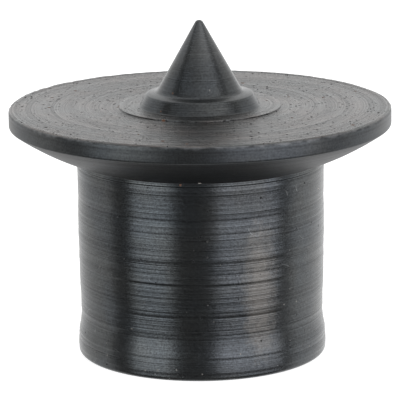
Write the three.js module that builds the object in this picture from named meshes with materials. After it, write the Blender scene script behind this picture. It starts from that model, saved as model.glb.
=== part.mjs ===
// Dowel centre for 12 mm holes: a steel button with a plain shank, a wide flange and a 60 degree
// marking point. The real one is turned from a single bar in one chucking, so it is one solid of
// revolution. Units are millimetres. +Z runs up the axis to the point, and the origin is the
// centre of the shank's end face.

import * as THREE from 'three';

// ---- Driving dimensions --------------------------------------------------------------------

const FOOT_DIAMETER = 12;         // swollen foot of the shank, which just enters a 12 mm hole
const FOOT_HEIGHT = 1.1;
const FOOT_END_ROUND = 0.2;       // broken edge round the end face

const WAIST_DIAMETER = 11.72;     // slimmest part of the shank, above the foot
const WAIST_BOTTOM = 1.7;
const WAIST_TOP = 3;

const SHANK_DIAMETER = 11.86;
const SHANK_TAPER_TOP = 5;        // from the waist the shank widens up to this height
const SHANK_LENGTH = 9.38;        // end face to the small collar under the flange

const COLLAR_DIAMETER = 12;       // narrow collar where the flange meets the shank
const COLLAR_HEIGHT = 0.2;

const FLANGE_DIAMETER = 18.35;
const FLANGE_TOP = 12.02;         // height of the faced top above the end face
const RIM_HEIGHT = 0.87;          // edge of the flange, with both rounded corners
const RIM_ROUND = 0.12;
const UNDERSIDE_ANGLE = 34.5;     // degrees below flat where the belly of the flange leaves the rim

const FACING_DIAMETER = 7.82;     // small disc left standing round the pedestal
const FACING_HEIGHT = 0.06;

const PEDESTAL_FOOT_DIAMETER = 5.78;
const PEDESTAL_TOP_DIAMETER = 5.15;
const PEDESTAL_HEIGHT = 0.57;
const LEDGE_RISE = 0.14;          // the ledge climbs a little towards the point

const POINT_HALF_ANGLE = 29.25;   // degrees, nominally a 60 degree point
const POINT_TIP_RADIUS = 0.23;
const OVERALL_HEIGHT = 16.2;

// ---- Resolution ----------------------------------------------------------------------------

const SEGMENTS_AROUND = 96;
const STEPS_PER_CURVE = 2;          // arcs take twice as many

// ---- Worked-out heights and radii ----------------------------------------------------------

const footRadius = FOOT_DIAMETER / 2;
const waistRadius = WAIST_DIAMETER / 2;
const shankRadius = SHANK_DIAMETER / 2;
const collarRadius = COLLAR_DIAMETER / 2;
const flangeRadius = FLANGE_DIAMETER / 2;
const collarTop = SHANK_LENGTH + COLLAR_HEIGHT;
const rimBottom = FLANGE_TOP - RIM_HEIGHT;
const facingTop = FLANGE_TOP + FACING_HEIGHT;
const pedestalTop = facingTop + PEDESTAL_HEIGHT;
const pointFoot = pedestalTop + LEDGE_RISE;

const halfAngle = THREE.MathUtils.degToRad(POINT_HALF_ANGLE);
const tipCentre = OVERALL_HEIGHT - POINT_TIP_RADIUS;
const apex = tipCentre + POINT_TIP_RADIUS / Math.sin(halfAngle);
const pointFootRadius = (apex - pointFoot) * Math.tan(halfAngle);

// ---- Outline: radius across, height up, from the end face to the tip ------------------------

function shankOutline(path) {
  path.moveTo(0, 0);
  path.lineTo(footRadius - FOOT_END_ROUND, 0);
  path.absarc(footRadius - FOOT_END_ROUND, FOOT_END_ROUND, FOOT_END_ROUND, -Math.PI / 2, 0);
  path.lineTo(footRadius, FOOT_HEIGHT);
  path.lineTo(waistRadius, WAIST_BOTTOM);
  path.lineTo(waistRadius, WAIST_TOP);
  path.lineTo(shankRadius, SHANK_TAPER_TOP);
  path.lineTo(shankRadius, SHANK_LENGTH);
}

function flangeOutline(path) {
  path.lineTo(collarRadius, SHANK_LENGTH);
  path.lineTo(collarRadius, collarTop);

  // The underside is a shallow belly: steepest at the rim, where it runs into the lower corner,
  // and flattening towards the collar.
  const angle = THREE.MathUtils.degToRad(UNDERSIDE_ANGLE);
  const cornerRadius = flangeRadius - RIM_ROUND;
  const bellyRadius = cornerRadius + RIM_ROUND * Math.sin(angle);
  const bellyHeight = rimBottom + RIM_ROUND * (1 - Math.cos(angle));
  const bendRadius = (bellyRadius + collarRadius) / 2;
  const bendHeight = bellyHeight - (bellyRadius - bendRadius) * Math.tan(angle);
  path.quadraticCurveTo(bendRadius, bendHeight, bellyRadius, bellyHeight);

  path.absarc(cornerRadius, rimBottom + RIM_ROUND, RIM_ROUND, angle - Math.PI / 2, 0);
  path.lineTo(flangeRadius, FLANGE_TOP - RIM_ROUND);
  path.absarc(cornerRadius, FLANGE_TOP - RIM_ROUND, RIM_ROUND, 0, Math.PI / 2);
  path.lineTo(FACING_DIAMETER / 2, FLANGE_TOP);
}

function pointOutline(path) {
  path.lineTo(FACING_DIAMETER / 2 - FACING_HEIGHT, facingTop);
  path.lineTo(PEDESTAL_FOOT_DIAMETER / 2, facingTop);
  path.lineTo(PEDESTAL_TOP_DIAMETER / 2, pedestalTop);
  path.lineTo(pointFootRadius, pointFoot);
  path.absarc(0, tipCentre, POINT_TIP_RADIUS, halfAngle, Math.PI / 2);
}

function outlinePoints() {
  const path = new THREE.Path();
  shankOutline(path);
  flangeOutline(path);
  pointOutline(path);

  const points = path.getPoints(STEPS_PER_CURVE);
  points[points.length - 1].x = 0;   // the tip closes exactly on the axis
  return points;
}

// ---- The solid -----------------------------------------------------------------------------

const blackOxideSteel = new THREE.MeshStandardMaterial({
  name: 'black_oxide_steel',
  color: 0x2b2e31,
  roughness: 0.42,
  metalness: 1,
});

function dowelCentre() {
  const geometry = new THREE.LatheGeometry(outlinePoints(), SEGMENTS_AROUND);
  geometry.rotateX(Math.PI / 2);     // the lathe spins about Y, and the part stands along Z
  const mesh = new THREE.Mesh(geometry, blackOxideSteel);
  mesh.name = 'dowel_center';
  return mesh;
}

const group = new THREE.Group();
group.add(dowelCentre());

export default group;
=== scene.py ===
"""Dowel centre in black oxide steel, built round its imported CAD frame.

The object is one turned piece, so it is one closed surface of revolution with a material for each
way that its surface was cut. The script is laid out as an add-on and is run as a script.
"""

import math

import bpy
import numpy as np
from bpy.props import (
    FloatProperty,
    FloatVectorProperty,
    IntProperty,
    PointerProperty,
    StringProperty,
)
from mathutils import Matrix, Vector


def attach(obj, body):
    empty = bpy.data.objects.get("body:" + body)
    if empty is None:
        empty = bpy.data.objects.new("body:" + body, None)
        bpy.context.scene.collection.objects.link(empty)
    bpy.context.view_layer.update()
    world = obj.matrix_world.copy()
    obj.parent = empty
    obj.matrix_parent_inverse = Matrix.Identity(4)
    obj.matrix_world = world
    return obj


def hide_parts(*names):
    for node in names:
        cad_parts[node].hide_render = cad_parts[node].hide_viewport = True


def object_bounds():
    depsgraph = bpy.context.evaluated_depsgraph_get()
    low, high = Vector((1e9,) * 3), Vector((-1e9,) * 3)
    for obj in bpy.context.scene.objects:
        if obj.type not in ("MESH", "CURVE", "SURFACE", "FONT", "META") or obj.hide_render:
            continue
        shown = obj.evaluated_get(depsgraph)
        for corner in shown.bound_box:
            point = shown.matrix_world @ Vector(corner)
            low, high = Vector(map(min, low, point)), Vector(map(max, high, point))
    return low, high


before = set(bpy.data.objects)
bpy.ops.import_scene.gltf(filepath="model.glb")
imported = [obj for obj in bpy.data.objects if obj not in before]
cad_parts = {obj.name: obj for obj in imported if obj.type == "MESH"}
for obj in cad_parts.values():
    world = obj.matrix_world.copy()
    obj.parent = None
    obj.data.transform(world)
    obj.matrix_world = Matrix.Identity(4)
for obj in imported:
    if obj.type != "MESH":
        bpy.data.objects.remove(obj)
CAD_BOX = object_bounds()

bl_info = {
    "name": "Dowel Centre",
    "version": (1, 0, 0),
    "blender": (4, 5, 0),
    "location": "View3D > Sidebar > Dowel Centre",
    "description": "Builds a turned black oxide dowel centre and its studio",
    "category": "Add Mesh",
}

NODE = "dowel_center"
BODY = "root"
MM = 0.001


# ---- Sizes, finish and studio --------------------------------------------------------------


def length(name, description, millimetres):
    """A length property, in metres, whose default is given in millimetres."""
    return FloatProperty(
        name=name,
        description=description,
        default=millimetres * MM,
        unit="LENGTH",
        subtype="DISTANCE",
    )


def swatch(name, description, hex_code):
    """A colour property, as an sRGB hex code."""
    return StringProperty(name=name, description=description, default=hex_code)


class DowelCentreSizes(bpy.types.PropertyGroup):
    """What is turned, from the end face up to the point."""

    foot_diameter: length("Foot diameter", "Swollen foot, which just enters its hole", 12.0)
    foot_height: length("Foot height", "Where the foot has fallen half way to the waist", 1.27)
    foot_round: length("Foot rounding", "Broken edge round the end face", 0.2)
    waist_diameter: length("Waist diameter", "Slimmest part of the shank, above the foot", 11.72)
    waist_height: length("Waist height", "Height of the slimmest part", 2.4)
    shank_diameter: length("Shank diameter", "Plain part of the shank, above the waist", 11.86)
    shank_length: length("Shank length", "End face to the collar under the flange", 9.38)
    collar_diameter: length("Collar diameter", "Narrow collar where the flange meets the shank", 12.0)
    collar_height: length("Collar height", "Height of that collar", 0.2)
    flange_diameter: FloatProperty(
        name="Flange diameter",
        description="Across the wide flange, from the CAD frame",
        default=CAD_BOX[1].x - CAD_BOX[0].x,
        unit="LENGTH",
        subtype="DISTANCE",
    )
    flange_top: length("Flange top height", "Faced top above the end face", 12.02)
    rim_height: length("Rim height", "Edge of the flange, corners included", 0.87)
    rim_round: length("Rim corner radius", "Rounding of both corners of the rim", 0.12)
    facing_diameter: length("Facing disc diameter", "Disc left standing round the pedestal", 7.82)
    facing_height: length("Facing disc height", "Step up onto the facing disc", 0.06)
    pedestal_foot: length("Pedestal foot diameter", "Pedestal where it meets the disc", 5.78)
    pedestal_top: length("Pedestal top diameter", "Pedestal at its upper edge", 5.15)
    pedestal_height: length("Pedestal height", "Upright part of the pedestal", 0.57)
    ledge_rise: length("Ledge rise", "How far the ledge climbs towards the point", 0.14)
    tip_radius: length("Tip radius", "Blunting of the point", 0.23)
    overall_height: FloatProperty(
        name="Overall height",
        description="End face to the tip, from the CAD frame",
        default=CAD_BOX[1].z - CAD_BOX[0].z,
        unit="LENGTH",
        subtype="DISTANCE",
    )
    point_half_angle: FloatProperty(
        name="Point half angle",
        description="Half of the point's included angle",
        default=math.radians(29.25),
        unit="ROTATION",
    )
    underside_angle: FloatProperty(
        name="Underside angle",
        description="Slope below flat where the underside leaves the rim",
        default=math.radians(34.5),
        unit="ROTATION",
    )
    segments: IntProperty(
        name="Segments", description="Steps round the axis", default=192, min=48, max=240,
    )


class DowelCentreFinish(bpy.types.PropertyGroup):
    """Colours of the finish, as sRGB hex."""

    oxide_dark: swatch("Oxide, dark", "Deepest of the black oxide", "#2C2C2D")
    oxide_cool: swatch("Oxide, cool", "Where the oxide is thin and bluish", "#595D60")
    oxide_warm: swatch("Oxide, neutral", "Where the oxide is thin and grey", "#5C5E5E")
    oxide_brown: swatch("Oxide, brown", "Where the oxide is driest", "#615D5B")
    # Besides wear, this colour paints the highlight along the top of the rim.
    worn_oxide_and_highlight: swatch("Worn oxide", "Edge rubbed dull and grey", "#7C7D7E")
    worn_steel: swatch("Worn steel", "Scratches through the oxide", "#A3A5A6")
    stain: swatch("Stain", "Dried oil on one side of the shank", "#ADA397")
    pit: swatch("Pit", "Small holes torn by the tool", "#141414")
    rust: swatch("Rust", "Specks of rust", "#64493A")
    dust: swatch("Dust", "Dry residue left in the marks", "#A8A29A")


class DowelCentreStudio(bpy.types.PropertyGroup):
    """Where the camera stands round the object, the table's size and the backdrop's colour."""

    camera_distance: length("Camera distance", "From the point that it is aimed at", 147.77)
    camera_elevation: FloatProperty(
        name="Camera elevation",
        description="Above the horizon",
        default=math.radians(13.34),
        unit="ROTATION",
    )
    camera_roll: FloatProperty(
        name="Camera roll",
        description="Turn about the view axis",
        default=math.radians(-0.61),
        unit="ROTATION",
    )
    aim_height: length("Aim height", "Height of the point that the camera is aimed at", 7.374)
    aim_aside: length("Aim aside", "How far that point is to the right of the axis", -0.043)
    focal_length: FloatProperty(
        name="Focal length", description="In millimetres, for a 36 mm sensor", default=275.3,
    )
    floor_size: length("Floor size", "Side of the pale light table", 4000.0)
    backdrop: FloatVectorProperty(
        name="Backdrop",
        description="Colour of the backdrop and table",
        default=(1.0, 1.0, 1.0),
        subtype="COLOR",
    )


# ---- Outline of the turned piece -------------------------------------------------------------


def line(start, end, count):
    """Points start + t (end - start), with t from 0 up to, but not reaching, 1."""
    t = np.arange(count)[:, None] / count
    return np.array(start) + t * (np.array(end) - np.array(start))


def arc(centre, radius, start, end, count):
    """Points centre + radius (cos a, sin a), a from start up to, but not reaching, end, in degrees."""
    angle = np.radians(start + (end - start) * np.arange(count) / count)
    return np.array(centre) + radius * np.column_stack((np.cos(angle), np.sin(angle)))


def bend(start, pull, end, count):
    """Quadratic curve (1-t)^2 start + 2t(1-t) pull + t^2 end, t from 0 up to, but not reaching, 1."""
    t = np.arange(count)[:, None] / count
    start, pull, end = np.array(start), np.array(pull), np.array(end)
    return (1 - t) ** 2 * start + 2 * t * (1 - t) * pull + t**2 * end


def shank_side(size, foot, shank, bottom, top, count):
    """The shank's side, from its foot up to, but not reaching, the collar.

    Radius is the plain shank, less a bell of the waist's depth, with a smooth step out to the
    foot: r = shank - waist exp(-((z - zw) / w)^2) + step / (1 + exp((z - zf) / e)).
    """
    z = bottom + (top - bottom) * np.arange(count) / count
    waist = (size.shank_diameter - size.waist_diameter) / 2
    waist_reach, step_softness = 1.6 * MM, 0.18 * MM
    bell = waist * np.exp(-(((z - size.waist_height) / waist_reach) ** 2))
    step = (foot - shank + bell) / (1 + np.exp((z - size.foot_height) / step_softness))
    return np.column_stack((shank - bell + step, z))


def outline(size):
    """The outline as (zone, points) stretches, each point (distance from the axis, height).

    Every stretch ends just before the next begins, and its last number is how many points it has.
    Groove sets the size of the witness line under the collar, and ease sets how far back from a
    corner its rounding starts.
    """
    foot, shank, collar = size.foot_diameter / 2, size.shank_diameter / 2, size.collar_diameter / 2
    flange = size.flange_diameter / 2
    corner = flange - size.rim_round
    rim_bottom = size.flange_top - size.rim_height
    lower_corner = (corner, rim_bottom + size.rim_round)
    upper_corner = (corner, size.flange_top - size.rim_round)
    disc, disc_top = size.facing_diameter / 2, size.flange_top + size.facing_height
    pedestal_top = disc_top + size.pedestal_height
    point_foot = pedestal_top + size.ledge_rise
    groove = 0.024 * MM
    ease = 0.06 * MM

    sine, tangent = math.sin(size.point_half_angle), math.tan(size.point_half_angle)
    tip_centre = size.overall_height - size.tip_radius
    apex = tip_centre + size.tip_radius / sine
    foot_radius = (apex - point_foot) * tangent
    tip_start = (size.tip_radius * math.cos(size.point_half_angle), tip_centre + size.tip_radius * sine)

    slope = size.underside_angle
    belly_end = (
        corner + size.rim_round * math.sin(slope),
        rim_bottom + size.rim_round * (1 - math.cos(slope)),
    )
    belly_middle = (belly_end[0] + collar) / 2
    belly_pull = (belly_middle, belly_end[1] - (belly_end[0] - belly_middle) * math.tan(slope))
    collar_top = size.shank_length + size.collar_height
    shank_top = (shank, size.shank_length - groove)
    groove_bed = (shank - 1.5 * groove, size.shank_length)
    collar_foot = (collar, size.shank_length + groove)
    collar_edge = (collar, collar_top - 0.4 * ease)
    belly_start = (collar + ease, collar_top + 0.4 * ease)
    disc_foot = (disc + 0.5 * ease, size.flange_top)
    disc_middle = (disc - 0.1 * ease, (size.flange_top + disc_top) / 2)
    disc_edge = (disc - 0.6 * ease, disc_top)
    pedestal_foot, pedestal_rim = size.pedestal_foot / 2, size.pedestal_top / 2
    disc_inner = (pedestal_foot + ease, disc_top)
    side_start = (pedestal_foot - 0.4 * ease, disc_top + ease)
    side_end = (pedestal_rim + 0.3 * ease, pedestal_top - 0.6 * ease)
    ledge_outer = (pedestal_rim - ease, pedestal_top + 0.3 * ease)
    ledge_inner = (foot_radius + 1.5 * ease, point_foot - 0.6 * ease)
    cone_start = (foot_radius - 1.5 * ease * tangent, point_foot + 1.5 * ease)
    half_angle = math.degrees(size.point_half_angle)

    return [
        ("end_face", line((0.0, 0.0), (foot - size.foot_round, 0.0), 4)),
        ("shank", arc((foot - size.foot_round, size.foot_round), size.foot_round, -90, 0, 8)),
        ("shank", shank_side(size, foot, shank, size.foot_round, shank_top[1], 300)),
        ("shank", line(shank_top, groove_bed, 3)),
        ("shank", line(groove_bed, collar_foot, 3)),
        ("shank", line(collar_foot, collar_edge, 9)),
        ("underside", bend(collar_edge, (collar, collar_top), belly_start, 3)),
        ("underside", bend(belly_start, belly_pull, belly_end, 16)),
        ("rim", arc(lower_corner, size.rim_round, math.degrees(slope) - 90, 0, 5)),
        ("rim", line((flange, lower_corner[1]), (flange, upper_corner[1]), 4)),
        ("rim", arc(upper_corner, size.rim_round, 0, 45, 4)),
        ("flange_top", arc(upper_corner, size.rim_round, 45, 90, 4)),
        ("flange_top", line((corner, size.flange_top), disc_foot, 60)),
        ("flange_top", bend(disc_foot, (disc, size.flange_top), disc_middle, 4)),
        ("flange_top", bend(disc_middle, (disc - 0.2 * ease, disc_top), disc_edge, 4)),
        ("flange_top", line(disc_edge, disc_inner, 8)),
        ("point", bend(disc_inner, (pedestal_foot, disc_top), side_start, 4)),
        ("point", line(side_start, side_end, 6)),
        ("point", bend(side_end, (pedestal_rim, pedestal_top), ledge_outer, 4)),
        ("point", line(ledge_outer, ledge_inner, 4)),
        ("point", bend(ledge_inner, (foot_radius, point_foot), cone_start, 6)),
        ("point", line(cone_start, tip_start, 40)),
        ("point", arc((0.0, tip_centre), size.tip_radius, half_angle, 90, 8)),
        ("point", np.array([(0.0, size.overall_height)])),
    ]


# ---- Turning marks and wear, as shifts of the outline ----------------------------------------


def grooves(position, places, widths, depths):
    """Sum over the grooves of depth exp(-((position - place) / width)^2).

    Each groove is three times wider on its low side than on its high side, as a lathe tool leaves it.
    """
    reach = (position[:, None] - places[None, :]) / widths[None, :]
    reach = np.where(reach > 0, reach, reach / 3)
    return (depths * np.exp(-(reach**2))).sum(axis=1)


def shank_cut(height, angle, size, random):
    """How far the tool cut below the plain outline of the shank, by height and angle.

    Rings at the tool's feed, each of its own depth and a little out of place, then a few deeper
    rings where the tool chattered, listed by height, and a slow drift. A ring is up to 20% deeper
    on two sides, by 1 + 0.2 cos(2a + 9h), with a the angle and h the height. All the numbers are
    millimetres.
    """
    h = height / MM
    feed, first, last = 0.225, 0.35, 9.2
    count = int((last - first) / feed)
    places = first + feed * (np.arange(count) + random.uniform(-0.12, 0.12, count))
    widths = random.uniform(0.035, 0.06, count)
    depths = random.uniform(0.0035, 0.0065, count)
    fine = grooves(h, places, widths, depths)
    chatter_depths = {
        7.75: 0.005, 7.05: 0.008, 6.25: 0.006, 5.65: 0.007, 5.15: 0.005, 4.6: 0.010,
        3.6: 0.006, 3.05: 0.008, 2.15: 0.012, 2.0: 0.012, 1.05: 0.018, 0.85: 0.016,
    }
    deep_places, deep_depths = np.array(list(chatter_depths.items())).T
    deep_width = 0.055
    deep = grooves(h, deep_places, np.full(len(deep_places), deep_width), deep_depths)
    drift = 0.012 + 0.008 * np.sin(2.1 * h + 0.7) + 0.004 * np.sin(5.3 * h + 2.0)
    fade = np.clip((h - 0.25) / 0.2, 0, 1) * np.clip((size.shank_length / MM - 0.1 - h) / 0.1, 0, 1)
    uneven = 1 + 0.2 * np.cos(2 * angle[None, :] + 9 * h[:, None])
    return -fade[:, None] * ((fine + deep)[:, None] * uneven - drift[:, None]) * MM


def facing_cut(radius, size, random):
    """Facing marks on the flange top: shallow rings at uneven spacing, deepest near the rim."""
    r = radius / MM
    inner, outer = size.facing_diameter / 2 / MM, size.flange_diameter / 2 / MM
    count = 40
    places = random.uniform(inner, outer, count)
    widths = random.uniform(0.05, 0.12, count)
    depths = random.uniform(0.001, 0.006, count)
    rings = grooves(r, places, widths, depths)
    near_rim, rim_ring_width, rim_ring_depth = outer - 0.42, 0.05, 0.015
    rings += grooves(r, np.array([near_rim]), np.array([rim_ring_width]), np.array([rim_ring_depth]))
    fade = np.clip((r - inner - 0.1) / 0.1, 0, 1) * np.clip((outer - 0.15 - r) / 0.1, 0, 1)
    return -fade * rings * MM


def around(angle, random, lowest, highest, strength):
    """Smooth unevenness round the axis: cosines of whole-number frequency and random phase."""
    frequency = np.arange(lowest, highest)
    phase = random.uniform(0, 2 * np.pi, len(frequency))
    share = random.normal(0, 1, len(frequency)) / math.sqrt(len(frequency))
    return strength * (share * np.cos(angle[:, None] * frequency + phase)).sum(axis=1)


def turned_surface(size):
    """Grids of radius and height, one row per outline point and one column per step round the axis.

    Each row is its outline point, shifted by the turning marks. Near the top edge of the rim the
    surface is also pushed down and in by a burr that varies round the axis.
    """
    random = np.random.default_rng(12)
    stretches = outline(size)
    points = np.concatenate([points for _, points in stretches])
    zones = np.repeat([zone for zone, _ in stretches], [len(points) for _, points in stretches])
    angle = np.arange(size.segments) * 2 * np.pi / size.segments
    radius = np.repeat(points[:, :1], size.segments, axis=1)
    height = np.repeat(points[:, 1:], size.segments, axis=1)

    on_shank = (zones == "shank") & (points[:, 1] < size.shank_length - 0.05 * MM)
    radius[on_shank] += shank_cut(points[on_shank, 1], angle, size, random)
    on_top = (zones == "flange_top") & (points[:, 1] == size.flange_top)
    height[on_top] += facing_cut(points[on_top, 0], size, random)[:, None]

    burr_height, burr_sway, burr_reach = 0.022 * MM, 0.006 * MM, 0.16 * MM
    ragged = np.abs(around(angle, random, 6, 90, burr_height))
    burr = np.clip(ragged + around(angle, random, 2, 12, burr_sway), 0, None)
    from_edge = np.hypot(points[:, 0] - size.flange_diameter / 2, points[:, 1] - size.flange_top)
    near_edge = np.exp(-((from_edge / burr_reach) ** 2))
    radius -= 0.5 * near_edge[:, None] * burr
    height -= near_edge[:, None] * burr
    radius[0] = radius[-1] = 0.0
    return radius, height, angle, zones


def closed_mesh(name, radius, height, angle, zones, materials):
    """A closed mesh from grids of radius and height: x = r cos a, y = r sin a, z = height.

    The first and last rows are single points on the axis, joined to their neighbours by fans, and
    the last column joins the first.
    """
    rows, columns = radius.shape
    ring_x = radius[1:-1] * np.cos(angle)
    ring_y = radius[1:-1] * np.sin(angle)
    rings = np.stack((ring_x, ring_y, height[1:-1]), axis=-1).reshape(-1, 3)
    vertices = np.vstack(([[0.0, 0.0, height[0].mean()]], rings, [[0.0, 0.0, height[-1].mean()]]))

    first = 1 + np.arange(rows - 2)[:, None] * columns + np.arange(columns)[None, :]
    turned = np.roll(first, -1, axis=1)
    quads = np.stack((first[:-1], turned[:-1], turned[1:], first[1:]), axis=-1).reshape(-1, 4)
    last = len(vertices) - 1
    foot_fan = np.column_stack((np.zeros(columns, int), turned[0], first[0]))
    tip_fan = np.column_stack((first[-1], turned[-1], np.full(columns, last)))

    names = list(materials)
    row_material = np.array([names.index(zone) for zone in zones])
    face_material = np.concatenate((
        np.repeat(row_material[1:-2], columns),
        np.full(columns, row_material[0]),
        np.full(columns, row_material[-1]),
    ))

    mesh = bpy.data.meshes.new(name)
    mesh.from_pydata(vertices.tolist(), [], quads.tolist() + foot_fan.tolist() + tip_fan.tolist())
    for material in materials.values():
        mesh.materials.append(material)
    mesh.polygons.foreach_set("material_index", face_material)
    mesh.polygons.foreach_set("use_smooth", np.ones(len(face_material), bool))
    mesh.update()
    return mesh


# ---- Materials -------------------------------------------------------------------------------


def linear(colour):
    """An sRGB hex colour such as "#2A2C2F" as linear red, green, blue and alpha."""
    srgb = np.array([int(colour[i : i + 2], 16) for i in (1, 3, 5)]) / 255
    low, high = srgb / 12.92, ((srgb + 0.055) / 1.055) ** 2.4
    return (*np.where(srgb <= 0.04045, low, high).tolist(), 1.0)


def add(tree, kind, inputs=None, **settings):
    """Adds one node with its settings, and gives each input a value or a link."""
    made = tree.nodes.new(kind)
    for name, value in settings.items():
        setattr(made, name, value)
    for socket, value in (inputs or {}).items():
        if isinstance(value, bpy.types.NodeSocket):
            tree.links.new(value, made.inputs[socket])
        else:
            made.inputs[socket].default_value = value
    return made


def new_material(name):
    """An empty node material, its tree, its surface shader and its place in millimetres."""
    material = bpy.data.materials.new(name)
    material.use_nodes = True
    tree = material.node_tree
    tree.nodes.clear()
    shader = add(tree, "ShaderNodeBsdfPrincipled")
    add(tree, "ShaderNodeOutputMaterial", {"Surface": shader.outputs["BSDF"]})
    place = add(tree, "ShaderNodeTexCoord")
    millimetres = add(
        tree,
        "ShaderNodeVectorMath",
        {0: place.outputs["Object"], "Scale": 1 / MM},
        operation="SCALE",
    )
    return material, tree, shader, millimetres.outputs["Vector"]


def distance_from_axis(tree, place):
    """Length of the place with its height set to nothing, in millimetres."""
    flat = add(tree, "ShaderNodeVectorMath", {0: place, 1: (1.0, 1.0, 0.0)}, operation="MULTIPLY")
    away = add(tree, "ShaderNodeVectorMath", {0: flat.outputs["Vector"]}, operation="LENGTH")
    return away.outputs["Value"]


def turned_streaks(tree, place, along, pitch, length_round, broken=0.6):
    """Streaks left by a lathe tool, from about 0 to 1.

    Noise of one dimension along the feed, at the given pitch, plus noise that changes slowly
    round the axis over about length_round, so a streak starts and fades as it goes round. Broken is
    the share of the second noise.
    """
    wander = add(tree, "ShaderNodeTexNoise", {"Vector": place, "Scale": 0.25, "Detail": 1.0})
    shift = add(
        tree,
        "ShaderNodeMath",
        {0: wander.outputs["Fac"], 1: 0.25 * pitch, 2: along},
        operation="MULTIPLY_ADD",
    )
    rings = add(
        tree,
        "ShaderNodeTexNoise",
        {"W": shift.outputs[0], "Scale": 1 / pitch, "Detail": 2.0, "Roughness": 0.6},
        noise_dimensions="1D",
    )
    stretch = add(
        tree, "ShaderNodeVectorMath", {0: place, "Scale": 1 / length_round}, operation="SCALE",
    )
    offset = add(tree, "ShaderNodeMath", {0: along, 1: 0.6 / pitch}, operation="MULTIPLY")
    patches = add(
        tree,
        "ShaderNodeTexNoise",
        {"Vector": stretch.outputs["Vector"], "W": offset.outputs[0], "Scale": 1.0, "Detail": 2.0},
        noise_dimensions="4D",
    )
    mixed = add(
        tree,
        "ShaderNodeMath",
        {0: patches.outputs["Fac"], 1: broken, 2: rings.outputs["Fac"]},
        operation="MULTIPLY_ADD",
    )
    middle = 0.5 + 0.5 * broken
    return add(
        tree,
        "ShaderNodeMapRange",
        {"Value": mixed.outputs[0], "From Min": middle - 0.25, "From Max": middle + 0.25},
    ).outputs["Result"]


def specks(tree, place, spacing, size, share):
    """Small spots, 1 inside and 0 outside: a spot in a random share of cells of that spacing."""
    ragged = add(tree, "ShaderNodeTexNoise", {"Vector": place, "Scale": 1.5 / size, "Detail": 1.0})
    moved = add(
        tree,
        "ShaderNodeVectorMath",
        {0: ragged.outputs["Color"], "Scale": 0.8 * size},
        operation="SCALE",
    )
    uneven = add(tree, "ShaderNodeVectorMath", {0: place, 1: moved.outputs["Vector"]}, operation="ADD")
    cells = add(
        tree,
        "ShaderNodeTexVoronoi",
        {"Vector": uneven.outputs["Vector"], "Scale": 1 / spacing, "Randomness": 1.0},
    )
    chosen = add(tree, "ShaderNodeSeparateColor", {"Color": cells.outputs["Color"]})
    radius = add(
        tree,
        "ShaderNodeMapRange",
        {"Value": chosen.outputs["Red"], "From Min": 1 - share, "To Max": size / spacing},
    )
    inside = add(
        tree,
        "ShaderNodeMath",
        {0: radius.outputs["Result"], 1: cells.outputs["Distance"]},
        operation="SUBTRACT",
    )
    return add(
        tree, "ShaderNodeMapRange", {"Value": inside.outputs[0], "From Max": 0.35 * size / spacing},
    ).outputs["Result"]


def patch(tree, place, centre, reach, ragged=0.6):
    """A soft ragged patch round a centre: 1 within about half its reach, 0 beyond it."""
    away = add(tree, "ShaderNodeVectorMath", {0: place, 1: centre}, operation="SUBTRACT")
    scaled = add(tree, "ShaderNodeVectorMath", {0: away.outputs["Vector"], 1: reach}, operation="DIVIDE")
    distance = add(tree, "ShaderNodeVectorMath", {0: scaled.outputs["Vector"]}, operation="LENGTH")
    broken = add(
        tree,
        "ShaderNodeTexNoise",
        {"Vector": place, "Scale": 2.5, "Detail": 5.0, "Roughness": 0.7},
    )
    uneven = add(
        tree,
        "ShaderNodeMath",
        {0: broken.outputs["Fac"], 1: -2 * ragged, 2: distance.outputs["Value"]},
        operation="MULTIPLY_ADD",
    )
    return add(
        tree,
        "ShaderNodeMapRange",
        {"Value": uneven.outputs[0], "From Min": 1 - ragged, "From Max": 0.3 - ragged},
    ).outputs["Result"]


def hairlines(tree, place):
    """Thin wandering scratches: where two slow noises both pass close to their middle value."""
    slow = add(tree, "ShaderNodeTexNoise", {"Vector": place, "Scale": 0.35, "Detail": 0.5})
    off = add(tree, "ShaderNodeMath", {0: slow.outputs["Fac"], 1: 0.5}, operation="SUBTRACT")
    width = add(tree, "ShaderNodeMath", {0: off.outputs[0]}, operation="ABSOLUTE")
    thin = add(
        tree,
        "ShaderNodeMapRange",
        {"Value": width.outputs[0], "From Min": 0.004, "From Max": 0.001},
    )
    where = add(tree, "ShaderNodeTexNoise", {"Vector": place, "Scale": 0.8, "Detail": 2.0})
    few = add(
        tree,
        "ShaderNodeMapRange",
        {"Value": where.outputs["Fac"], "From Min": 0.61, "From Max": 0.66},
    )
    return add(
        tree,
        "ShaderNodeMath",
        {0: thin.outputs["Result"], 1: few.outputs["Result"]},
        operation="MULTIPLY",
    ).outputs[0]


def lay_over(tree, shader, amount, colour, metallic, roughness):
    """Mixes another finish over what the shader has so far, by an amount from 0 to 1."""
    finish = {"Base Color": linear(colour), "Metallic": metallic, "Roughness": roughness}
    for socket, value in finish.items():
        under = shader.inputs[socket]
        before = under.links[0].from_socket if under.is_linked else under.default_value
        kind = "RGBA" if socket == "Base Color" else "FLOAT"
        mixed = add(tree, "ShaderNodeMix", {"Factor": amount, "A": before, "B": value}, data_type=kind)
        tree.links.new(mixed.outputs["Result"], under)


def scatter(tree, shader, place, colour, spacing, size, share):
    """Lays dull specks of one colour over the shader's finish."""
    spots = specks(tree, place, spacing, size, share)
    lay_over(tree, shader, spots, colour, metallic=0.0, roughness=0.9)


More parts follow.
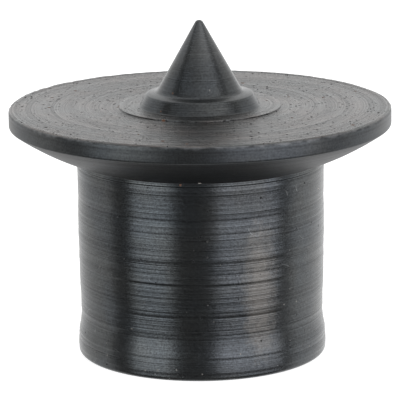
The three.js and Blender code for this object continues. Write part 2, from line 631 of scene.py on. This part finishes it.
def oxide_steel(
    name, finish, feed, pitch, contrast, roughness, bump_depth, tone, grain=0.3, grit=0.9, hues=None,
):
    """Black oxide steel with the marks of one turning pass.

    Wide bands, rings at the pitch and fine lines within them are added up. Their sum sets the
    depth of the oxide's colour, the gloss and the bump. Feed is "along" the axis or "across" it.
    Roughness is given for the duller and the glossier marks. Tone is the colour's range, where 0
    is the darkest oxide and 1 the thinnest. Grain is the share of blotches in the colour, and grit
    is its change over the grain of the metal, which is drawn at 0.08 mm. Real grain is far finer,
    but finer than that it wouldn't show.
    """
    material, tree, shader, place = new_material(name)
    warm, cool = hues or (finish.oxide_warm, finish.oxide_cool)
    height = add(tree, "ShaderNodeSeparateXYZ", {"Vector": place}).outputs["Z"]
    along = height if feed == "along" else distance_from_axis(tree, place)

    bands = turned_streaks(tree, place, along, 5.0 * pitch, length_round=5.0)
    rings = turned_streaks(tree, place, along, pitch, length_round=5.0, broken=0.4)
    lines = turned_streaks(tree, place, along, 0.4 * pitch, length_round=3.0, broken=0.4)
    wide = add(
        tree, "ShaderNodeMix", {"Factor": 0.6, "A": bands, "B": rings}, data_type="FLOAT",
    ).outputs["Result"]
    marks = add(
        tree, "ShaderNodeMix", {"Factor": 0.5, "A": wide, "B": lines}, data_type="FLOAT",
    ).outputs["Result"]
    blotches = add(
        tree,
        "ShaderNodeTexNoise",
        {"Vector": place, "Scale": 2.5, "Detail": 6.0, "Roughness": 0.75},
    ).outputs["Fac"]
    blend = add(
        tree, "ShaderNodeMix", {"Factor": grain, "A": marks, "B": blotches}, data_type="FLOAT",
    ).outputs["Result"]

    even_depth = add(
        tree,
        "ShaderNodeMapRange",
        {
            "Value": blend,
            "From Min": 0.5 - 0.5 / contrast,
            "From Max": 0.5 + 0.5 / contrast,
            "To Min": tone[0] - 0.5 * grit,
            "To Max": tone[1] - 0.5 * grit,
        },
    ).outputs["Result"]
    metal_grain = add(tree, "ShaderNodeTexNoise", {"Vector": place, "Scale": 12.0, "Detail": 2.0})
    depth = add(
        tree,
        "ShaderNodeMath",
        {0: metal_grain.outputs["Fac"], 1: grit, 2: even_depth},
        operation="MULTIPLY_ADD",
    ).outputs[0]

    hue = add(tree, "ShaderNodeTexNoise", {"Vector": place, "Scale": 0.5, "Detail": 3.0})
    sway = add(
        tree,
        "ShaderNodeMapRange",
        {"Value": hue.outputs["Fac"], "From Min": 0.38, "From Max": 0.62},
    ).outputs["Result"]
    thin_oxide = add(
        tree,
        "ShaderNodeMix",
        {"Factor": sway, "A": linear(warm), "B": linear(cool)},
        data_type="RGBA",
    ).outputs["Result"]
    colour = add(
        tree,
        "ShaderNodeMix",
        {"Factor": depth, "A": linear(finish.oxide_dark), "B": thin_oxide},
        data_type="RGBA",
        clamp_factor=False,
    ).outputs["Result"]
    gloss = add(
        tree,
        "ShaderNodeMapRange",
        {"Value": marks, "To Min": roughness[0], "To Max": roughness[1]},
    ).outputs["Result"]
    bump = add(
        tree,
        "ShaderNodeBump",
        {"Height": blend, "Distance": bump_depth * MM, "Strength": 1.0},
    ).outputs["Normal"]

    shader.inputs["Metallic"].default_value = 1.0
    shader.inputs["Specular IOR Level"].default_value = 0.1
    for socket, value in {"Base Color": colour, "Roughness": gloss, "Normal": bump}.items():
        tree.links.new(value, shader.inputs[socket])
    return material, tree, shader, place


def shank_material(finish):
    """Rough-turned black oxide steel: glossy enough for hard light strips, broken up by rings."""
    material, tree, shader, place = oxide_steel(
        "rough_turned_black_oxide_steel", finish, feed="along", pitch=0.14, contrast=1.6,
        roughness=(0.3, 0.2), bump_depth=0.008, tone=(0.22, 0.92), grain=0.2, grit=1.4,
    )
    height = add(tree, "ShaderNodeSeparateXYZ", {"Vector": place}).outputs["Z"]

    # The shank is made a little greyer towards the foot.
    foot = add(
        tree,
        "ShaderNodeMapRange",
        {"Value": height, "From Min": 3.0, "From Max": 1.2, "To Max": 0.04},
    ).outputs["Result"]
    lay_over(tree, shader, foot, finish.worn_oxide_and_highlight, metallic=1.0, roughness=0.25)

    # Dried oil leaves a pale brown cloud down one side.
    cloud = patch(tree, place, centre=(2.75, -5.25, 4.2), reach=(0.95, 1.6, 3.7))
    stain = add(tree, "ShaderNodeMath", {0: cloud, 1: 0.19}, operation="MULTIPLY").outputs[0]
    lay_over(tree, shader, stain, finish.stain, metallic=0.6, roughness=0.45)

    scratches = add(tree, "ShaderNodeMath", {0: hairlines(tree, place), 1: 0.28}, operation="MULTIPLY")
    lay_over(tree, shader, scratches.outputs[0], finish.worn_steel, metallic=1.0, roughness=0.4)

    # Pits, dust and rust catch the eye as fine dark and light dots.
    scatter(tree, shader, place, finish.pit, spacing=0.35, size=0.06, share=0.2)
    scatter(tree, shader, place, finish.dust, spacing=0.7, size=0.06, share=0.07)
    scatter(tree, shader, place, finish.rust, spacing=0.9, size=0.08, share=0.1)

    # More dust has settled towards the foot, and the broken edge is chipped.
    low = add(
        tree,
        "ShaderNodeMapRange",
        {"Value": height, "From Min": 9.0, "From Max": 1.5, "To Max": 0.5},
    ).outputs["Result"]
    fine_dust = specks(tree, place, spacing=0.3, size=0.05, share=0.35)
    settled = add(tree, "ShaderNodeMath", {0: fine_dust, 1: low}, operation="MULTIPLY").outputs[0]
    lay_over(tree, shader, settled, finish.dust, metallic=0.0, roughness=0.9)
    edge = add(tree, "ShaderNodeMapRange", {"Value": height, "From Min": 0.5, "From Max": 0.2})
    chips = add(
        tree,
        "ShaderNodeMath",
        {0: specks(tree, place, spacing=0.22, size=0.06, share=0.3), 1: edge.outputs["Result"]},
        operation="MULTIPLY",
    ).outputs[0]
    lay_over(tree, shader, chips, finish.worn_oxide_and_highlight, metallic=0.5, roughness=0.6)
    return material


def end_face_material(finish):
    """Parted-off black oxide steel: rings about the axis, duller to the eye than the shank."""
    material, _, _, _ = oxide_steel(
        "parted_off_black_oxide_steel", finish, feed="across", pitch=0.16, contrast=2.0,
        roughness=(0.45, 0.3), bump_depth=0.015, tone=(0.1, 1.0),
    )
    return material


def flange_top_material(finish):
    """Faced black oxide steel: dry, pitted and rusty, so it looks greyer than the shank."""
    material, tree, shader, place = oxide_steel(
        "faced_black_oxide_steel", finish, feed="across", pitch=0.1, contrast=3.6,
        roughness=(0.3, 0.22), bump_depth=0.02, tone=(0.0, 1.55), grain=0.4, grit=2.8,
        hues=(finish.oxide_brown, finish.oxide_warm),
    )
    scatter(tree, shader, place, finish.pit, spacing=0.16, size=0.07, share=0.4)
    scatter(tree, shader, place, finish.pit, spacing=0.34, size=0.1, share=0.2)
    scatter(tree, shader, place, finish.rust, spacing=0.55, size=0.14, share=0.16)
    scatter(tree, shader, place, finish.dust, spacing=0.9, size=0.09, share=0.08)
    return material


def rim_material(finish, edge_height):
    """Finish-turned black oxide steel: smooth and soft, with a pale ragged band painted along its top
    edge as a highlight on the rounded corner.
    """
    material, tree, shader, place = oxide_steel(
        "finish_turned_black_oxide_steel", finish, feed="along", pitch=0.3, contrast=1.2,
        roughness=(0.42, 0.34), bump_depth=0.003, tone=(0.1, 0.75),
    )
    height = add(tree, "ShaderNodeSeparateXYZ", {"Vector": place}).outputs["Z"]
    # Painted highlight: paler oxide is laid over the top of the rim, where its rounded corner catches
    # the light, with a ragged lower border.
    ragged = add(
        tree,
        "ShaderNodeTexNoise",
        {"Vector": place, "Scale": 1.6, "Detail": 5.0, "Roughness": 0.7},
    ).outputs["Fac"]
    uneven = add(
        tree, "ShaderNodeMath", {0: ragged, 1: 0.5, 2: height}, operation="MULTIPLY_ADD",
    ).outputs[0]
    edge = edge_height / MM
    painted_edge_highlight = add(
        tree,
        "ShaderNodeMapRange",
        {"Value": uneven, "From Min": edge + 0.1, "From Max": edge + 0.24, "To Max": 0.8},
    ).outputs["Result"]
    lay_over(tree, shader, painted_edge_highlight, finish.worn_oxide_and_highlight, metallic=1.0, roughness=0.5)
    scatter(tree, shader, place, finish.dust, spacing=0.6, size=0.08, share=0.08)
    return material


def underside_material(finish):
    """Form-turned black oxide steel: dull and even, with rust and dust where hands don't rub it."""
    material, tree, shader, place = oxide_steel(
        "form_turned_black_oxide_steel", finish, feed="across", pitch=0.16, contrast=1.6,
        roughness=(0.5, 0.4), bump_depth=0.006, tone=(0.0, 0.6),
    )
    scatter(tree, shader, place, finish.rust, spacing=0.6, size=0.1, share=0.12)
    scatter(tree, shader, place, finish.dust, spacing=0.8, size=0.1, share=0.1)
    return material


def point_material(finish):
    """Fine-turned black oxide steel: satin, with a tip that use has rubbed paler."""
    material, tree, shader, place = oxide_steel(
        "fine_turned_black_oxide_steel", finish, feed="along", pitch=0.12, contrast=1.3,
        roughness=(0.3, 0.2), bump_depth=0.008, tone=(0.2, 0.88), grit=1.2,
    )
    height = add(tree, "ShaderNodeSeparateXYZ", {"Vector": place}).outputs["Z"]
    rubbed = add(
        tree,
        "ShaderNodeMapRange",
        {"Value": height, "From Min": 13.8, "From Max": 15.8, "To Max": 0.35},
    ).outputs["Result"]
    lay_over(tree, shader, rubbed, finish.worn_oxide_and_highlight, metallic=1.0, roughness=0.35)
    scatter(tree, shader, place, finish.pit, spacing=0.5, size=0.06, share=0.12)
    scatter(tree, shader, place, finish.dust, spacing=0.5, size=0.07, share=0.14)
    scatter(tree, shader, place, finish.rust, spacing=0.6, size=0.09, share=0.14)
    return material


# ---- Operators -------------------------------------------------------------------------------


class DOWELCENTRE_OT_body(bpy.types.Operator):
    """Builds the turned piece and puts it in place of its CAD solid"""

    bl_idname = "mesh.dowel_centre_body"
    bl_label = "Turned Body"

    def execute(self, context):
        sizes, finish = context.scene.dowel_centre_sizes, context.scene.dowel_centre_finish
        materials = {
            "end_face": end_face_material(finish),
            "shank": shank_material(finish),
            "underside": underside_material(finish),
            "rim": rim_material(finish, sizes.flange_top),
            "flange_top": flange_top_material(finish),
            "point": point_material(finish),
        }
        radius, height, angle, zones = turned_surface(sizes)
        mesh = closed_mesh("turned_body", radius, height, angle, zones, materials)
        body = bpy.data.objects.new("turned_body", mesh)
        context.scene.collection.objects.link(body)
        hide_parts(NODE)
        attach(body, BODY)
        return {"FINISHED"}


def studio_world(studio):
    """White backdrop behind the object, a dim studio in front, and a ceiling that lights from above.

    The parts of the studio are told apart by the direction's height, its share towards +X, and its
    turn from the camera's side, and each part's brightness fades smoothly into the next. The camera
    itself sees plain white.
    """
    world = bpy.data.worlds.new("studio")
    world.use_nodes = True
    tree = world.node_tree
    tree.nodes.clear()
    direction = add(tree, "ShaderNodeTexCoord").outputs["Generated"]
    part = add(tree, "ShaderNodeSeparateXYZ", {"Vector": direction}).outputs
    forward = add(tree, "ShaderNodeMath", {0: part["Y"], 1: -1.0}, operation="MULTIPLY").outputs[0]
    turn = add(tree, "ShaderNodeMath", {0: part["X"], 1: forward}, operation="ARCTAN2").outputs[0]
    sideways = add(tree, "ShaderNodeMath", {0: turn}, operation="ABSOLUTE").outputs[0]
    overhead = add(
        tree,
        "ShaderNodeMapRange",
        {"Value": part["Z"], "From Min": 0.35, "From Max": 0.7},
        interpolation_type="SMOOTHSTEP",
    ).outputs["Result"]

    # Near the table the backdrop is a third brighter on the right, and higher up it evens out.
    behind = add(
        tree,
        "ShaderNodeMapRange",
        {
            "Value": sideways,
            "From Min": math.radians(86),
            "From Max": math.radians(98),
            "To Min": 0.2,
            "To Max": 1.0,
        },
        interpolation_type="SMOOTHSTEP",
    ).outputs["Result"]
    right_hand = add(
        tree,
        "ShaderNodeMapRange",
        {"Value": part["X"], "From Min": -0.6, "From Max": 0.9, "To Min": 1.0, "To Max": 1.32},
    ).outputs["Result"]
    raised = add(
        tree, "ShaderNodeMapRange", {"Value": part["Z"], "From Min": -0.15, "From Max": 0.3},
    ).outputs["Result"]
    evened = add(
        tree, "ShaderNodeMix", {"Factor": raised, "A": right_hand, "B": 1.0}, data_type="FLOAT",
    ).outputs["Result"]
    backdrop = add(tree, "ShaderNodeMath", {0: behind, 1: evened}, operation="MULTIPLY").outputs[0]

    # The ceiling is brighter on the right, and dim above the camera.
    ceiling_side = add(
        tree,
        "ShaderNodeMapRange",
        {"Value": part["X"], "From Min": -0.75, "From Max": 0.5, "To Min": 0.35, "To Max": 1.25},
    ).outputs["Result"]
    above_camera = add(
        tree,
        "ShaderNodeMapRange",
        {
            "Value": sideways,
            "From Min": math.radians(86),
            "From Max": math.radians(64),
            "To Min": 0.2,
            "To Max": 1.0,
        },
    ).outputs["Result"]
    lit = add(tree, "ShaderNodeMath", {0: overhead, 1: ceiling_side}, operation="MULTIPLY").outputs[0]
    ceiling = add(tree, "ShaderNodeMath", {0: lit, 1: above_camera}, operation="MULTIPLY").outputs[0]

    # The lit table shows again straight below.
    below = add(
        tree,
        "ShaderNodeMapRange",
        {"Value": part["Z"], "From Min": -0.8, "From Max": -0.95, "To Max": 0.9},
    ).outputs["Result"]
    around_it = add(tree, "ShaderNodeMath", {0: ceiling, 1: below}, operation="MAXIMUM").outputs[0]
    light = add(tree, "ShaderNodeMath", {0: backdrop, 1: around_it}, operation="MAXIMUM").outputs[0]
    white = (*studio.backdrop, 1.0)
    lighting = add(tree, "ShaderNodeBackground", {"Color": white, "Strength": light})
    seen = add(tree, "ShaderNodeBackground", {"Color": white, "Strength": 1.0})
    path = add(tree, "ShaderNodeLightPath")
    mixed = add(
        tree,
        "ShaderNodeMixShader",
        {0: path.outputs["Is Camera Ray"], 1: lighting.outputs[0], 2: seen.outputs[0]},
    )
    add(tree, "ShaderNodeOutputWorld", {"Surface": mixed.outputs[0]})
    return world


def softbox(name, azimuth, elevation, distance, width, height, brightness, colour):
    """A rectangular soft light that faces the middle of the object.

    Angles are in degrees, from the camera's side and from the horizon, and lengths are in
    millimetres. Brightness is the light's radiance.
    """
    data = bpy.data.lights.new(name, "AREA")
    data.shape = "RECTANGLE"
    data.size, data.size_y = width * MM, height * MM
    data.energy = brightness * math.pi * data.size * data.size_y
    data.color = linear(colour)[:3]
    light = bpy.data.objects.new(name, data)
    turn, lift = math.radians(azimuth), math.radians(elevation)
    away = Vector((math.sin(turn) * math.cos(lift), -math.cos(turn) * math.cos(lift), math.sin(lift)))
    middle = (CAD_BOX[0] + CAD_BOX[1]) / 2
    facing = away.to_track_quat("Z", "Y").to_matrix().to_4x4()
    light.matrix_world = Matrix.Translation(middle + away * distance * MM) @ facing
    bpy.context.scene.collection.objects.link(light)
    return light


def pale_table(studio):
    """A pale light table: lit from below, so that it stays white under and behind the object."""
    half = studio.floor_size / 2
    mesh = bpy.data.meshes.new("table")
    corners = [(-half, -half, 0.0), (half, -half, 0.0), (half, half, 0.0), (-half, half, 0.0)]
    mesh.from_pydata(corners, [], [(0, 1, 2, 3)])
    material = bpy.data.materials.new("lit_white_acrylic")
    material.use_nodes = True
    tree = material.node_tree
    tree.nodes.clear()
    shader = add(
        tree,
        "ShaderNodeBsdfPrincipled",
        {
            "Base Color": (*(0.5 * c for c in studio.backdrop), 1.0),
            "Roughness": 0.9,
            "Emission Color": (*studio.backdrop, 1.0),
            "Emission Strength": 0.85,
        },
    )
    add(tree, "ShaderNodeOutputMaterial", {"Surface": shader.outputs["BSDF"]})
    mesh.materials.append(material)
    table = bpy.data.objects.new("table", mesh)
    table.visible_glossy = False
    bpy.context.scene.collection.objects.link(table)
    return table


def studio_camera(studio):
    """A long lens that looks slightly down at the object, with a slight roll."""
    data = bpy.data.cameras.new("camera")
    data.sensor_width = 36.0
    data.lens = studio.focal_length
    data.clip_start, data.clip_end = 1 * MM, 10.0
    camera = bpy.data.objects.new("camera", data)
    lift = studio.camera_elevation
    away = Vector((0.0, -math.cos(lift), math.sin(lift)))
    aim = Vector((studio.aim_aside, 0.0, studio.aim_height))
    facing = away.to_track_quat("Z", "Y").to_matrix().to_4x4()
    roll = Matrix.Rotation(studio.camera_roll, 4, "Z")
    camera.matrix_world = Matrix.Translation(aim + away * studio.camera_distance) @ facing @ roll
    bpy.context.scene.collection.objects.link(camera)
    return camera


class DOWELCENTRE_OT_stage(bpy.types.Operator):
    """Builds the table, backdrop, soft lights and camera"""

    bl_idname = "scene.dowel_centre_stage"
    bl_label = "Studio"

    def execute(self, context):
        studio = context.scene.dowel_centre_studio
        context.scene.world = studio_world(studio)
        context.scene.view_settings.view_transform = "Standard"
        softbox(
            "softbox_left", azimuth=-46.5, elevation=6, distance=400, width=283, height=375,
            brightness=2.1, colour="#F3F9FD",
        )
        softbox(
            "softbox_right", azimuth=45, elevation=6, distance=400, width=481, height=375,
            brightness=2.08, colour="#F6F7FD",
        )
        pale_table(studio)
        context.scene.camera = studio_camera(studio)
        return {"FINISHED"}


# ---- Panel, registration and the run -----------------------------------------------------------


class DOWELCENTRE_PT_panel(bpy.types.Panel):
    """Shows the sizes, finish and studio settings, and the buttons that build the piece and its studio
    """

    bl_idname = "DOWELCENTRE_PT_panel"
    bl_label = "Dowel Centre"
    bl_space_type = "VIEW_3D"
    bl_region_type = "UI"
    bl_category = "Dowel Centre"

    def draw(self, context):
        for group in ("dowel_centre_sizes", "dowel_centre_finish", "dowel_centre_studio"):
            settings = getattr(context.scene, group)
            box = self.layout.box()
            for name in settings.__annotations__:
                box.prop(settings, name)
        self.layout.operator(DOWELCENTRE_OT_body.bl_idname)
        self.layout.operator(DOWELCENTRE_OT_stage.bl_idname)


CLASSES = (
    DowelCentreSizes,
    DowelCentreFinish,
    DowelCentreStudio,
    DOWELCENTRE_OT_body,
    DOWELCENTRE_OT_stage,
    DOWELCENTRE_PT_panel,
)


def register():
    for cls in CLASSES:
        bpy.utils.register_class(cls)
    bpy.types.Scene.dowel_centre_sizes = PointerProperty(type=DowelCentreSizes)
    bpy.types.Scene.dowel_centre_finish = PointerProperty(type=DowelCentreFinish)
    bpy.types.Scene.dowel_centre_studio = PointerProperty(type=DowelCentreStudio)


def unregister():
    del bpy.types.Scene.dowel_centre_studio
    del bpy.types.Scene.dowel_centre_finish
    del bpy.types.Scene.dowel_centre_sizes
    for cls in reversed(CLASSES):
        bpy.utils.unregister_class(cls)


def main():
    """Builds everything."""
    register()
    bpy.ops.mesh.dowel_centre_body()
    bpy.ops.scene.dowel_centre_stage()


if __name__ == "__main__":
    main()
